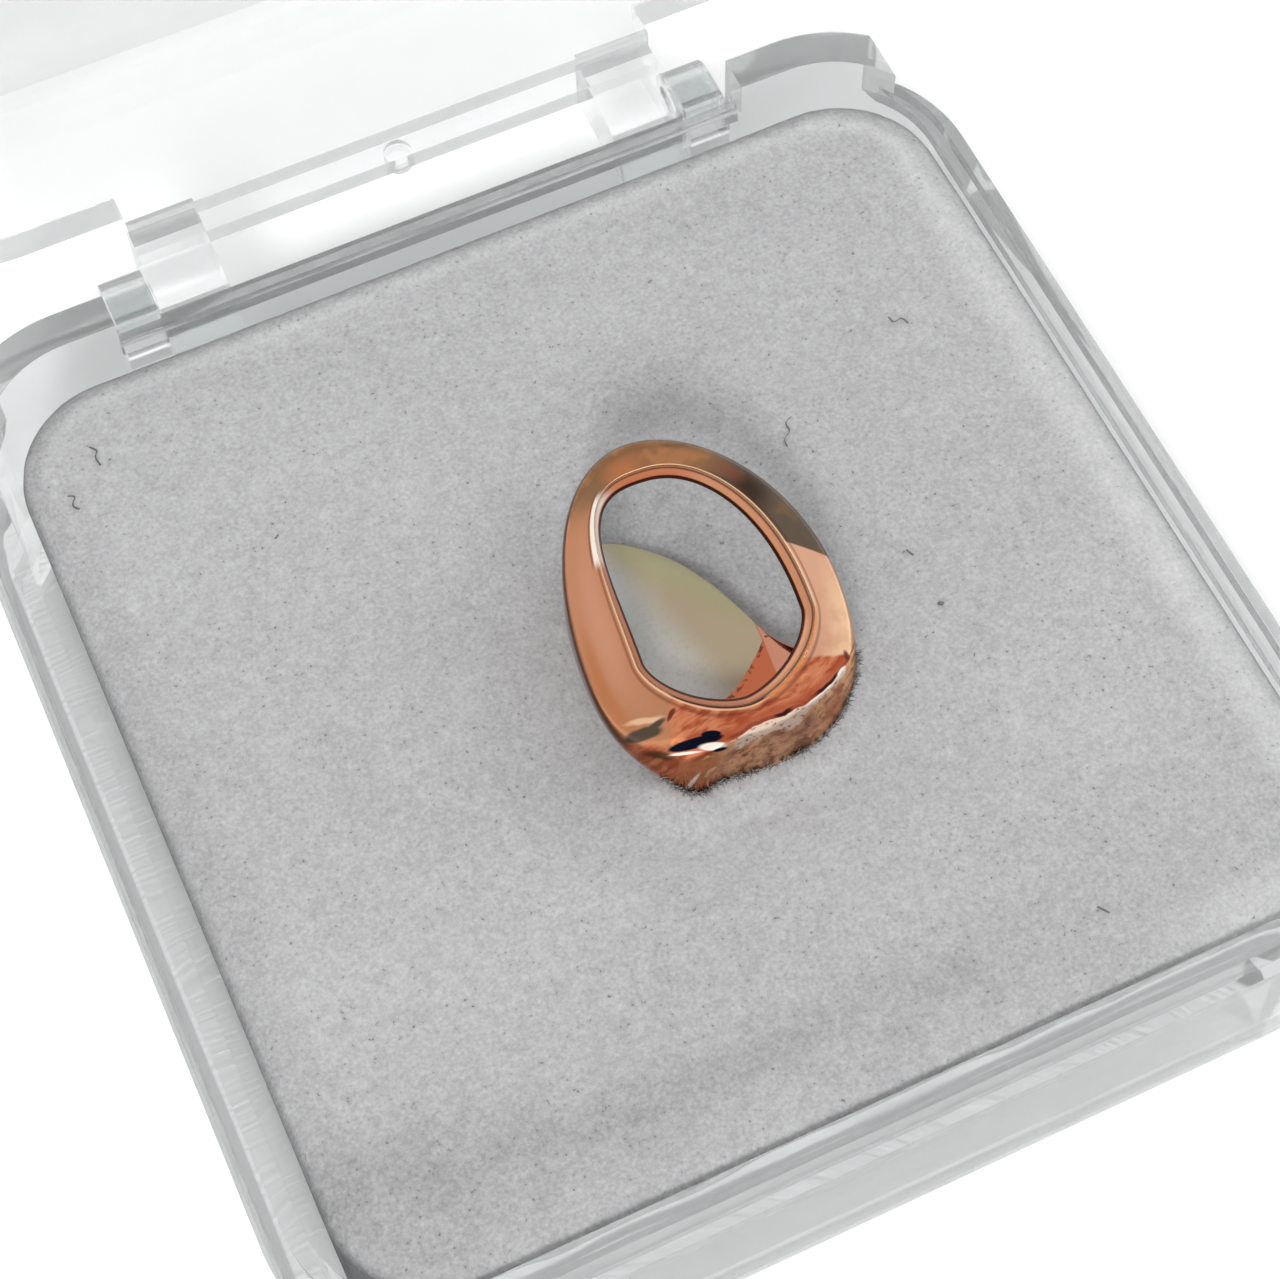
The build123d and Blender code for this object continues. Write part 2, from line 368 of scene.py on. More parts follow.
class RoseGold:
    """Polished rose gold whose tones round the cap are mostly painted reflections, highlights and shade, with
    the rough casting's own tones at its biting end.
    """

    # Most metal tones here are painted reflections of the room on the polish, and gloss and glint are painted
    # highlights; mauve, cast and umber also tone the rough casting.
    peach: Colour = lit(194, 136, 104)
    deep: Colour = lit(184, 126, 92)
    tan: Colour = lit(168, 116, 80)
    orange: Colour = lit(184, 116, 74)
    brown: Colour = lit(144, 103, 72)
    olive: Colour = lit(124, 98, 74)
    dark: Colour = lit(98, 85, 73)
    grey: Colour = lit(80, 71, 60)
    soot: Colour = lit(58, 46, 39)
    bright: Colour = lit(218, 166, 138)
    cream: Colour = lit(236, 194, 156)
    copper: Colour = lit(205, 128, 91)
    red: Colour = lit(166, 76, 50)
    wine: Colour = lit(98, 42, 32)
    umber: Colour = lit(96, 60, 44)
    navy: Colour = lit(14, 18, 32)
    cast: Colour = lit(232, 172, 130)
    mauve: Colour = lit(166, 110, 82)
    pale_mauve: Colour = lit(238, 214, 196)
    purple: Colour = lit(146, 98, 94)
    amber: Colour = lit(228, 150, 96)
    gloss: Colour = lit(252, 238, 224)
    glint: Colour = lit(244, 204, 164)
    wall: Colour = lit(214, 150, 112)
    rose: Colour = lit(196, 134, 110)
    ivory: Colour = paint(202, 205, 203)
    # Painted light: paler towards the biting end, where the inside sits in shade.
    ivory_brightened_low: Colour = paint(226, 225, 223)
    ivory_cool: Colour = paint(206, 211, 216)
    ivory_edge: Colour = paint(174, 168, 128)
    ivory_warm: Colour = paint(184, 167, 138)

    # Painted reflections and a painted highlight on the band's left side.
    left_reflections: Spots = (
        Spot(orange, 0.77, 3.9, 0.12, 1.5, 0, 0.6, 0.75),
        Spot(bright, 0.42, 5.6, 0.22, 2.2, 0, 0.8, 0.3),
    )
    # A painted highlight on the band's right side.
    right_highlight: Spots = (Spot(cream, 0.75, 3.2, 0.35, 1.5, 0, 0.7),)
    # Painted reflections on the band's top.
    top_reflections: Spots = (
        Spot(olive, -2.1, 9.5, 0.6, 0.3, 30, 0.5, 0.8),
        Spot(orange, -1.1, 9.8, 0.6, 0.3, 15, 0.8, 0.7),
    )
    # Painted dark reflections in the dusk between the top and the right side, and where that dusk starts.
    dusk_dark_reflection: Spots = (Spot(soot, 0.3, 5.9, 0.45, 0.8, 0, 0.8, 0.9),)
    dusk_start_reflection: Spots = (Spot(red, 2.0, 8.75, 0.42, 0.2, -50, 0.7, 0.3),)
    # A painted highlight streak on the copper slope.
    slope_highlight_streak: Spots = (Spot(cream, -2.95, 2.5, 0.5, 0.08, -10, 0.5, 0.85),)
    patch: Spots = (
        Spot(grey, -3.1, 2.15, 0.56, 0.2, -4, 0.2),
        Spot(grey, -2.8, 2.25, 0.42, 0.11, 16, 0.3),
    )
    slope_spots: Spots = (
        Spot(umber, -2.76, 1.36, 0.56, 0.1, -30, 0.4, 0.9),
        Spot(wine, -2.18, 2.41, 0.22, 0.08, 45, 0.3, 0.9),
        Spot(wine, 3.5, 2.36, 0.09, 0.17, 0, 0.4, 0.9),
    )
    cast_shade: Spots = (Spot(purple, 1.5, 0.75, 0.7, 0.2, 8, 0.6, 0.45),)
    cast_light: Spots = (Spot(copper, 2.75, 1.0, 0.5, 0.3, 40, 0.6, 0.6),)
    # A painted highlight on the ridge.
    ridge_light: Spots = (Spot(gloss, 3.2, 1.93, 0.22, 0.1, 35, 0.3),)
    # A painted dark reflection in the dimple above the ridge.
    dimple_reflection: Spots = (
        Spot(navy, -1.74, 1.38, 0.82, 0.155, -5, 0.12),
        Spot(navy, -1.25, 1.47, 0.3, 0.11, -14, 0.15),
    )
    # Painted highlights and dark reflections round that dimple.
    dimple_reflection_spots: Spots = (
        Spot(gloss, -1.28, 1.11, 0.42, 0.11, -16, 0.25),
        Spot(navy, -1.1, 0.96, 0.23, 0.05, -6, 0.3),
        Spot(gloss, -2.1, 1.2, 0.43, 0.04, -14, 0.4),
        Spot(gloss, -2.12, 0.3, 0.35, 0.06, 34, 0.4, 0.9),
    )
    ridge_waver: float = 0.22
    polish_rough: float = 0.16
    cast_rough: float = 0.2
    pale_rough: float = 0.25
    grain_rough: float = 0.06
    pale_matt: float = 0.85
    wall_matt: float = 0.7
    polish_relief: float = 0.08
    relief_strength: float = 0.35
    relief_height: float = 0.05

    def __init__(self, bed: Bed, ridge: Ridge) -> None:
        """Starts the material with the places and noises that its tones are drawn by.

        Args:
            bed: How the cap lies, for its own axes.
            ridge: The ridge over its cast face.
        """
        tree = self.tree = Tree("rose_gold_polished")
        where = tree.place((bed.x, bed.y, bed.z), bed.shader_turn())
        self.u, self.v, _ = tree.split(where)
        self.lap = tree.attribute("lap")
        self.ripple = tree.noise(where, 1.3)
        self.grain = tree.noise(where, 6.0, 3.0, 0.6)
        self.uneven = tree.warped(where, self.u, self.v, 1.7, 0.2)
        waver = tree.times(tree.maths("SUBTRACT", tree.noise(where, 1.6), 0.5), self.ridge_waver)
        line = tree.maths("ADD", ridge.socket(tree, self.u), waver)
        self.below = tree.maths("SUBTRACT", line, self.v)

    def slanted(self, slope: float) -> Socket:
        """The place along the cap, plus that share of the place across it."""
        return self.tree.maths("MULTIPLY_ADD", self.u, slope, self.v)

    def material(self) -> bpy.types.Material:
        """Makes the material.

        Returns:
            The material.
        """
        tree = self.tree
        colour, cast = self.bite(self.edges(self.slope(self.band())))
        colour, pale = self.inside(colour)
        wall = tree.between(self.lap, 3.58, 3.9, 0.03)
        matt = tree.maths("MAXIMUM", tree.times(pale, self.pale_matt), tree.times(wall, self.wall_matt))
        rough = self.polish_rough
        for zone, more in ((cast, self.cast_rough), (pale, self.pale_rough), (self.grain, self.grain_rough)):
            rough = tree.maths("ADD", rough, tree.times(zone, more))
        height = tree.times(self.grain, tree.maths("ADD", self.polish_relief, cast))
        normal = tree.bump(height, self.relief_strength, self.relief_height)
        metal = tree.maths("SUBTRACT", 1.0, matt)
        return tree.surface(Base_Color=colour, Metallic=metal, Roughness=rough, Normal=normal)

    def band(self) -> Socket:
        """Painted reflections on the polished frame: its left side, its top, its right side and the painted
        dark dusk between them.

        Returns:
            The colour's socket.
        """
        tree, u, v, lap, ripple = self.tree, self.u, self.v, self.lap, self.ripple
        ease, layers, dabs = tree.ease, tree.layers, tree.dabs
        # Every tone of the band is a painted reflection of the room on the polish; the olive shade is a
        # painted dark reflection on the top's outer side.
        left = tree.mix(ease(v, 2.0, 6.0), self.deep, self.peach)
        left = layers(left, (self.deep, ripple, 0.35), *dabs(self.left_reflections, lap, v))
        top = tree.mix(ease(ripple, 0.42, 0.6), self.brown, self.tan)
        shade = (self.olive, ease(lap, 0.45, 0.85), ease(u, -0.6, 0.9), 0.75)
        top = layers(top, *dabs(self.top_reflections, u, v), shade)
        right = layers(self.bright, *dabs(self.right_highlight, lap, v), (self.deep, ease(ripple, 0.5, 0.7), 0.3))
        slant, along = self.slanted(0.71), self.slanted(-0.9)
        dusk = tree.times(ease(slant, 8.2, 8.27), ease(u, 0.3, 1.4), ease(along, 8.3, 6.8),
                          ease(lap, 2.0, 1.5))
        dusk_reflection = tree.mix(ease(ripple, 0.5, 0.8), self.dark, self.olive)
        rim = tree.maths("MAXIMUM", ease(u, 1.0, -0.5), ease(v, 5.0, 6.0))
        return layers(
            left,
            (top, ease(self.slanted(0.25), 7.4, 9.2)),
            (right, ease(u, 0.4, 1.6), ease(slant, 8.3, 8.2)),
            (dusk_reflection, dusk),
            *dabs(self.dusk_dark_reflection, lap, along, dusk),
            *dabs(self.dusk_start_reflection, u, v),
            (self.umber, tree.between(lap, 0.93, 1.2, 0.03), rim, 0.85),
        )

    def slope(self, colour: Socket) -> Socket:
        """Tones of the copper slope under the window, its streaks painted reflections with a painted
        highlight streak, and of the grey patch at its left.

        Args:
            colour: The colour so far.

        Returns:
            The new colour.
        """
        tree, ease, below = self.tree, self.tree.ease, self.below
        u, v = self.uneven
        streak = tree.noise(tree.stretched(u, below, 1.0, 3.2), 1.1, 2.0, 0.6)
        # The slope's streaks are painted reflections, amber where they are brightest.
        slope = tree.layers(
            tree.mix(ease(streak, 0.34, 0.6), self.red, self.copper),
            (self.amber, ease(streak, 0.62, 0.72)),
            (self.red, ease(below, -0.45, -0.2), ease(u, -2.1, -1.3), 0.7),
        )
        west = ease(tree.maths("MULTIPLY_ADD", v, -0.3, u), -2.97, -2.87)
        north = ease(tree.maths("MULTIPLY_ADD", u, 0.267, v), 3.38, 3.26)
        low = ease(tree.maths("MULTIPLY_ADD", u, 0.5, v), 0.35, 0.15)
        return tree.layers(
            colour,
            (slope, west, north),
            *tree.dabs(self.slope_highlight_streak, u, v),
            (slope, low, ease(u, -1.8, -2.2), 0.85),
            (self.grey, tree.joined(self.patch, u, v), 0.97),
            *tree.dabs(self.slope_spots, u, v),
        )

    def edges(self, colour: Socket) -> Socket:
        """Dark lines and painted glints along the window's rim and its wall.

        Args:
            colour: The colour so far.

        Returns:
            The new colour.
        """
        tree, u, v, lap = self.tree, self.u, self.v, self.lap
        ease, between = tree.ease, tree.between
        wall = tree.layers(
            tree.mix(ease(u, 0.4, 1.4), self.copper, self.wall),
            (self.wine, ease(lap, 3.6, 3.56)),
            (self.wine, between(lap, 3.78, 3.87, 0.02), 0.85),
        )
        shine = tree.mix(tree.times(ease(u, 0.4, 0.9), ease(v, 4.3, 3.8)), self.glint, self.amber)
        rim = tree.maths("MAXIMUM", ease(lap, 0.06, 0.03), ease(lap, 3.88, 3.92))
        corner = tree.maths("MAXIMUM", ease(lap, 0.03, 0.01), ease(lap, 3.8, 3.84))
        flank = tree.maths("MAXIMUM", ease(lap, 0.2, 0.16), ease(lap, 3.6, 3.64))
        flare = tree.times(between(v, 7.35, 9.3, 0.2), ease(u, -0.9, -1.3))
        # Shine round the rim and gloss on the left bevel's flank are painted highlights.
        return tree.layers(
            colour,
            (wall, ease(lap, 3.3, 3.5)),
            (self.wine, between(lap, 0.08, 0.13, 0.02), ease(v, 9.5, 8.5), 0.5),
            (shine, rim, 0.8),
            (self.wine, corner, ease(v, 3.1, 2.8), ease(u, 0.9, 0.5)),
            (self.wine, flare, between(lap, 0.2, 0.25, 0.02), 0.6),
            (self.gloss, flare, flank, 0.95),
        )

    def bite(self, colour: Socket) -> tuple[Socket, Socket]:
        """Tones of the biting end: its ridge with painted shade and highlights, its rough casting with
        painted light and shade, and the painted dark reflection in the dimple above it.

        Args:
            colour: The colour so far.

        Returns:
            The new colour and how rough-cast the surface is.
        """
        tree, u, v, below, grain = self.tree, self.u, self.v, self.below, self.grain
        ease, between = tree.ease, tree.between
        cast, right = ease(below, -0.02, 0.05), ease(u, -1.5, -0.7)
        lumps = tree.noise(tree.stretched(u, below, 1.3, 3.0), 1.2, 3.0, 0.6)
        matt = tree.layers(
            tree.mix(ease(lumps, 0.36, 0.58), self.mauve, self.cast),
            (self.cream, ease(grain, 0.56, 0.7), 0.6),
            *tree.dabs(self.cast_shade, u, v),
            (self.umber, ease(grain, 0.42, 0.34), 0.6),
            *tree.dabs(self.cast_light, u, v),
        )
        # On the polished part, glint is a painted highlight on the high lumps.
        shiny = tree.layers(
            tree.mix(ease(lumps, 0.4, 0.6), self.copper, self.orange),
            (self.wine, ease(lumps, 0.38, 0.3), 0.6),
            (self.glint, ease(lumps, 0.58, 0.68), 0.7),
        )
        pieces = tree.maths("MAXIMUM", between(u, 2.2, 3.05, 0.12), between(u, 0.75, 1.25, 0.12))
        line = tree.times(between(below, -0.1, 0.0, 0.03), ease(u, -1.0, -0.6))
        broad = tree.times(ease(u, 2.0, 1.4), 0.22)
        frayed = tree.times(tree.maths("SUBTRACT", lumps, 0.4), 0.5)
        ragged = tree.maths("SUBTRACT", tree.maths("SUBTRACT", below, broad), frayed)
        white = tree.times(ease(below, 0.0, 0.03), ease(ragged, 0.16, 0.06), between(u, -0.6, 3.3, 0.12))
        # The line along the ridge is painted shade with painted dark reflection (navy) in places; gloss marks
        # are painted highlights.
        colour = tree.layers(
            colour,
            (tree.mix(right, shiny, matt), cast),
            (self.wine, line, tree.maths("MULTIPLY_ADD", pieces, 0.45, 0.5)),
            (self.navy, line, pieces, 0.8),
            (self.pale_mauve, white, ease(grain, 0.3, 0.48), 0.92),
            (self.gloss, between(below, 0.01, 0.08, 0.02), between(u, 1.8, 3.3, 0.15), 0.9),
            *tree.dabs(self.ridge_light, u, v),
            (self.navy, tree.joined(self.dimple_reflection, u, v)),
            *tree.dabs(self.dimple_reflection_spots, u, v),
        )
        return colour, tree.times(cast, right)

    def inside(self, colour: Socket) -> tuple[Socket, Socket]:
        """The pale inside of the back wall, painted lighter towards the biting end where it sits in shade,
        and the bare copper corner beside it.

        Args:
            colour: The colour so far.

        Returns:
            The new colour and how pale the surface is.
        """
        tree, ease, u, v, grain = self.tree, self.tree.ease, self.u, self.v, self.grain
        inside = tree.between(self.lap, 1.95, 2.83, 0.03)
        bend = tree.maths("POWER", tree.maths("MAXIMUM", tree.maths("ADD", u, 0.2), 0.0), 1.6)
        over = tree.maths("SUBTRACT", tree.maths("MULTIPLY_ADD", bend, 0.45, 2.45), v)
        bare = tree.maths("MAXIMUM", ease(u, 1.78, 1.84), ease(over, 0.0, 0.06))
        pale = tree.times(inside, tree.maths("SUBTRACT", 1.0, bare))
        ivory = tree.layers(
            # Painted light makes the inside paler towards the biting end.
            tree.mix(ease(v, 5.6, 3.0), self.ivory, self.ivory_brightened_low),
            (self.ivory_cool, ease(v, 5.6, 7.2), ease(u, -0.7, -1.9)),
            (self.ivory_warm, ease(tree.maths("MULTIPLY_ADD", v, 0.3, u), -0.1, 1.7)),
            (self.ivory_edge, ease(self.slanted(1.1), 5.6, 7.0), ease(u, -2.0, -0.9)),
            (self.ivory_warm, ease(grain, 0.5, 0.64), 0.3),
        )
        corner = tree.layers(
            tree.mix(ease(u, 1.8, 1.88), tree.mix(0.4, self.red, self.copper), self.rose),
            (self.umber, tree.between(over, 0.02, 0.2, 0.04), ease(grain, 0.5, 0.58)),
        )
        return tree.layers(colour, (corner, inside), (ivory, pale)), pale


@dataclass(frozen=True)
class FlockedFoam:
    """Short grey flock on foam, paler or darker as its mottled tone and the pad's painted highlights and
    shade say.
    """

    light: Colour = paint(216, 216, 217)
    shade: Colour = paint(140, 140, 141)
    speck: Colour = paint(104, 103, 102)
    grain: float = 7.0
    contrast: float = 0.68

    def material(self) -> bpy.types.Material:
        """Makes the material.

        Returns:
            The material.
        """
        tree = Tree("grey_flock")
        fine = tree.noise(tree.place(), self.grain, 1.0, 0.8)
        flock_tone_and_shade = tree.attribute("flock_tone_and_shade")
        tone = tree.maths("MULTIPLY_ADD", tree.maths("SUBTRACT", fine, 0.5), self.contrast, flock_tone_and_shade)
        colour = tree.layers(
            tree.mix(tone, self.shade, self.light),
            (self.speck, tree.ease(fine, 0.28, 0.22), 0.7),
            (self.speck, tree.ease(flock_tone_and_shade, 0.05, -0.3)),
        )
        return tree.surface(Base_Color=colour, Roughness=0.95, Specular_IOR_Level=0.0)


@dataclass(frozen=True)
class ClearPlastic:
    """Clear moulded polystyrene with slow flow marks."""

    name: str
    tint: Colour
    flow: float = 0.35
    flow_height: float = 0.12

    def material(self) -> bpy.types.Material:
        """Makes the material.

        Returns:
            The material.
        """
        tree = Tree(self.name)
        normal = tree.bump(tree.noise(tree.place(), self.flow, 0.0), 0.25, self.flow_height)
        return tree.surface(Base_Color=self.tint, Roughness=0.0, Normal=normal, Transmission_Weight=1.0,
                            IOR=1.5, Alpha=0.8)


@dataclass(frozen=True)
class Mottled:
    """A matt finish that wanders between two tones, such as the pale table or the dark dust."""

    name: str
    tone: Colour
    other: Colour
    scale: float
    surface: dict[str, float]

    def material(self) -> bpy.types.Material:
        """Makes the material.

        Returns:
            The material.
        """
        tree = Tree(self.name)
        colour = tree.mix(tree.noise(tree.place(), self.scale), self.tone, self.other)
        return tree.surface(Base_Color=colour, **self.surface)


@dataclass(frozen=True)
class Egg:
    """An egg-shaped curve in the plane of the cap's face, wider at its biting end."""

    width: float
    length: float
    widest: float
    lean: float
    bite_lean: float
    gum_fullness: float
    bite_fullness: float
    shift: float = 0.0
    bottom: float = 0.0

    def point(self, angle: float) -> tuple[float, float]:
        """A point of the curve.

        Args:
            angle: The angle round the face, in radians.

        Returns:
            The point across and along the face.
        """
        c, s = math.cos(angle), math.sin(angle)
        fullness = self.gum_fullness if s > 0 else self.bite_fullness
        reach = self.length - self.widest if s > 0 else self.widest
        rise = power(s, fullness)
        lean = (self.lean if rise > 0 else self.bite_lean) * rise ** 2
        u = self.shift + self.width / 2 * power(c, fullness) + lean
        return u, self.bottom + self.widest + reach * rise


@dataclass(frozen=True)
class EdgeRow:
    """One place on the free edge of the cap's back wall."""

    angle: float
    across: float
    along: float
    depth: float


@dataclass
class ToothCap:
    """The cast cap: an egg-shaped frame, its biting end, side walls and back wall."""

    outline: Egg = Egg(width=8.35, length=10.6, widest=4.45, lean=-0.6, bite_lean=0.22,
                       gum_fullness=1.95, bite_fullness=2.5)
    window: Egg = Egg(width=5.7, length=7.74, widest=2.24, lean=-0.86, bite_lean=0.0,
                      gum_fullness=2.5, bite_fullness=1.65, shift=0.2, bottom=1.92)
    ridge: Ridge = Ridge()
    bed: Bed = Bed()
    bite_corner: float = 0.42
    bite_corner_across: float = -2.1
    bite_corner_width: float = 0.75
    window_bevel: float = 0.3
    window_fall: float = 0.07
    window_fall_rate: float = 26.0
    face_height: float = 1.45
    face_crown: float = 0.5
    face_bow: float = 1.4
    band_flatness: float = 4.0
    band_roll: float = 0.4
    ring_edge: float = 0.45
    bite_edge: float = -0.8
    bite_turn: float = 1.5
    bite_ridge: float = 0.4
    bite_slope: float = 1.2
    bite_depth: float = 2.05
    gum_depth: float = 5.2
    depth_reach: float = 8.4
    depth_power: float = 1.6
    side_rise: float = 0.5
    side_power: float = 2.4
    wall_round: float = 1.2
    wall_sag: float = 0.1
    metal: float = 0.7
    foot_metal: float = 0.5
    # Waves of the casting: scale across, scale along, slice of the noise and height.
    lumps: tuple[tuple[float, float, float, float], ...] = ((1.1, 1.6, 3.1, 0.16), (3.0, 3.4, 7.7, 0.06))
    lip_height: float = 0.09
    dimple_depth: float = 0.1
    bead_height: float = 0.07
    ring_foot: float = 0.45
    ring_inset: float = 0.3
    edge_round: float = 0.12
    rim_pinch: float = 0.06
    steps_round: int = 216
    steps_band: int = 16
    steps_wall: int = 24
    steps_under: int = 10
    steps_rim: int = 8
    closing_lap: float = 3.95
    back_edge: tuple[EdgeRow, ...] = (
        EdgeRow(146, -0.86, 0.70, 0.0),
        EdgeRow(158, -0.83, 0.715, 0.3),
        EdgeRow(170, -0.76, 0.75, 0.75),
        EdgeRow(186, -0.54, 0.80, 1.0),
        EdgeRow(210, -0.26, 0.785, 1.0),
        EdgeRow(240, 0.05, 0.69, 1.0),
        EdgeRow(270, 0.25, 0.58, 1.0),
        EdgeRow(300, 0.38, 0.47, 1.0),
        EdgeRow(322, 0.50, 0.36, 0.98),
        EdgeRow(338, 0.66, 0.29, 0.75),
        EdgeRow(350, 0.82, 0.31, 0.3),
        EdgeRow(362, 0.88, 0.42, 0.0),
    )

    def down(self, angle: float) -> float:
        """How far an angle points to the biting end, up to 1."""
        return max(-math.sin(angle), 0) ** self.bite_turn

    def lower_rim(self, angle: float) -> Point:
        """A point of the lower edge of the cap's face.

        Args:
            angle: The angle round the face, in radians.

        Returns:
            Across, along and above, in the cap's own axes.
        """
        u, v = self.outline.point(angle)
        if math.sin(angle) < 0:
            v -= self.bite_corner * hump(u, self.bite_corner_across, self.bite_corner_width)
        return u, v, self.ring_edge + (self.bite_edge - self.ring_edge) * self.down(angle)

    def toward_middle(self, u: float, v: float) -> tuple[float, float]:
        """The unit direction from a point of the outline to the middle."""
        far = math.hypot(u, self.outline.widest - v)
        return -u / far, (self.outline.widest - v) / far

    def inward(self, angle: float, reach: float) -> Point:
        """The point that lies that far in from the lower edge of the face."""
        u, v, w = self.lower_rim(angle)
        mu, mv = self.toward_middle(u, v)
        return u + reach * mu, v + reach * mv, w

    def side(self, u: float) -> float:
        """Place across the cap as a share of its half width, without its sign."""
        return abs(u / (self.outline.width / 2))

    def face(self, u: float, v: float) -> float:
        """Height of the crowned face above the plane of the biting end."""
        bow = self.face_bow * ((v - self.outline.widest) / self.outline.length) ** 2
        return self.face_height - self.face_crown * self.side(u) ** 2 - bow

    def back_depth(self, u: float, v: float) -> float:
        """Depth of the back wall's outside below the plane of the biting end.

        Args:
            u: Across the cap.
            v: Along the cap.

        Returns:
            The depth.
        """
        run = (max(v, 0) / self.depth_reach) ** self.depth_power
        along = self.bite_depth + (self.gum_depth - self.bite_depth) * run
        return along * (1 - self.side_rise * self.side(u) ** self.side_power)

    def foot(self, angle: float) -> Point:
        """The arch's foot at an angle: across, along and no share of the depth."""
        return *self.inward(angle, self.ring_inset)[:2], 0.0

    def edge_row(self, index: int) -> Point:
        """A place on the free edge of the back wall.

        Args:
            index: The row, held within the table.

        Returns:
            Across, along and the share of the depth.
        """
        row = self.back_edge[min(max(index, 0), len(self.back_edge) - 1)]
        if row.depth == 0:
            return self.foot(math.radians(row.angle))
        return row.across * self.outline.width / 2, row.along * self.outline.length, row.depth

    def edge_at(self, angle: float) -> Point:
        """Where the wall ends at an angle.

        Args:
            angle: The angle, in radians.

        Returns:
            Across, along and the share of the depth.
        """
        degrees = math.degrees(angle)
        rows = self.back_edge
        if degrees < rows[-1].angle - 360:
            degrees += 360
        if not rows[0].angle < degrees < rows[-1].angle:
            return self.foot(angle)
        k = max(i for i in range(len(rows) - 1) if rows[i].angle <= degrees)
        t = (degrees - rows[k].angle) / (rows[k + 1].angle - rows[k].angle)
        a, b, c, d = (self.edge_row(i) for i in (k - 1, k, k + 1, k + 2))
        return tuple(
            q + t / 2 * (r - p + t * (2 * p - 5 * q + 4 * r - s + t * (3 * (q - r) + s - p)))
            for p, q, r, s in zip(a, b, c, d)
        )

    def section(self, angle: float) -> list[tuple[float, float, float, float]]:
        """The closed section of the metal at one angle.

        Args:
            angle: The angle, in radians.

        Returns:
            Points with their lap value.
        """
        wu, wv = self.window.point(angle)
        ou, ov, edge = self.lower_rim(angle)
        eu, ev, share = self.edge_at(angle)
        mu, mv = self.toward_middle(ou, ov)
        down = self.down(angle)
        points, inside = [], []
        for k in range(self.steps_band):
            t = math.sin(k / self.steps_band * math.pi / 2)
            u, v = wu + (ou - wu) * t, wv + (ov - wv) * t
            w = edge + (self.face(u, v) - edge) * self.band_height(t, down)
            w -= self.window_fall * math.exp(-t * self.window_fall_rate)
            points.append((u, v, w + self.relief(u, v, t, down), Skin.BAND + t))
        travel = math.hypot(eu - ou, ev - ov)
        bend = min(self.wall_round, travel)
        for k in range(self.steps_wall + 1):
            t = k / self.steps_wall
            if travel > self.wall_round:
                turn = min(t * 2, 1) * math.pi / 2
                go = bend * (1 - math.cos(turn)) + (travel - bend) * max(t * 2 - 1, 0)
            else:
                turn = t * math.pi / 2
                go = travel * (1 - math.cos(turn))
            u, v = ou + (eu - ou) * go / travel, ov + (ev - ov) * go / travel
            deep = share * self.back_depth(u, v) + (1 - share) * (self.ring_foot - edge)
            w = edge - (edge + deep) * math.sin(turn)
            lump = self.relief(u, v, 1.0, down) * (1 - smooth(0.1, 0.6, t))
            points.append((u, v, w + lump, Skin.WALL + 0.9 * t))
            eased = smooth(0.0, 1.0, t)
            thick = self.metal * ((1 - eased) + eased * (1 - share) * self.foot_metal)
            up = self.metal * eased * share - self.wall_sag * (1 - t) * (1 - share)
            inside.append((u + mu * thick, v + mv * thick, w + up, Skin.INSIDE + 0.8 * (1 - t)))
        points.extend(self.rolled(points[-1], inside[-1]))
        points.extend(reversed(inside))
        bu, bv = wu + mu * self.window_bevel, wv + mv * self.window_bevel
        iu, iv, iw, _ = points[-1]
        low = self.face(wu, wv) - self.metal
        for k in range(1, self.steps_under + 1):
            t = k / self.steps_under
            u, v = iu + (bu - iu) * t, iv + (bv - iv) * t
            points.append((u, v, iw + (low - iw) * (1 - (1 - t) ** 2), Skin.UNDER + 0.5 * t))
        top = points[0][2]
        for k in range(1, self.steps_rim):
            t = k / self.steps_rim
            pinch = self.rim_pinch * math.sin(math.pi * t)
            u = bu + (wu - bu) * t - mu * pinch
            v = bv + (wv - bv) * t - mv * pinch
            points.append((u, v, low + (top - low) * t, Skin.UNDER + 0.5 + 0.45 * t))
        return points

    def rolled(self, outer: tuple, inner: tuple) -> list[tuple]:
        """Rounds the free edge between the two skins.

        Args:
            outer: The last point of the outer skin.
            inner: The first point of the inner skin.

        Returns:
            Points of the rounded edge.
        """
        rows = []
        for t, lap in ((0.2, 1.92), (0.5, 1.94), (0.8, 1.96)):
            u, v, w = (a + (b - a) * t for a, b in zip(outer[:3], inner[:3]))
            rows.append((u, v + self.edge_round * math.sin(math.pi * t), w, lap))
        return rows

    def band_height(self, t: float, down: float) -> float:
        """Height across the band from 1 at the window to 0 at the outline.

        Args:
            t: Place across the band.
            down: How far the angle points to the biting end.

        Returns:
            The share of the height.
        """
        rolled = (1 - t ** self.band_flatness) ** self.band_roll
        past = max(t - self.bite_ridge, 0) ** self.bite_slope
        sloped = 1 - past / (1 - self.bite_ridge) ** self.bite_slope
        return rolled + (sloped - rolled) * down

